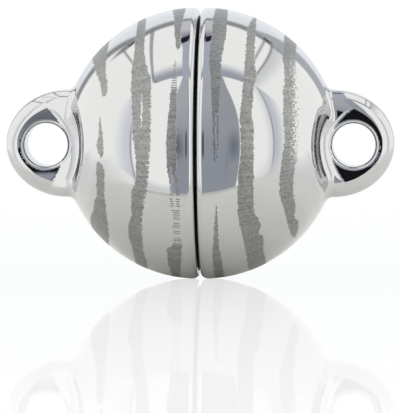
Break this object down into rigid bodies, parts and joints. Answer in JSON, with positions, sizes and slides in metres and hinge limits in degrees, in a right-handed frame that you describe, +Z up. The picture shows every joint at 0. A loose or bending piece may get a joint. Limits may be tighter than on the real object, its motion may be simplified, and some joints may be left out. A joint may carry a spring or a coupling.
{
  "type": "magnetic ball clasp",
  "caption": "Polished steel ball clasp split into two magnetic halves, each with a drilled eye, with matte stripes round the ball.",
  "frame": {"origin": "the ball's lowest point, straight under its centre, on the surface that it rests on", "axes": "+X along the clasp from the left eye to the right eye, +Y away from the viewer along the eye holes, +Z up"},
  "size_m": [0.0172, 0.012, 0.012],
  "materials": {
    "polished_steel": "mirror-polished stainless steel with matte grey laser-marked stripes",
    "magnet_plating": "satin nickel plating"
  },
  "bodies": {
    "left_side": {"left_half": "polished_steel", "left_magnet": "magnet_plating"},
    "magnet_side": {"right_magnet": "magnet_plating"},
    "right_side": {"right_half": "polished_steel"}
  },
  "joints": [
    {"name": "pull_apart", "type": "slide", "parent": "left_side", "child": "magnet_side", "axis": [1, 0, 0], "range_m": [0, 0.012]},
    {"name": "swivel", "type": "hinge", "parent": "magnet_side", "child": "right_side", "pos_m": [0, 0, 0.006], "axis": [1, 0, 0], "continuous": true}
  ]
}
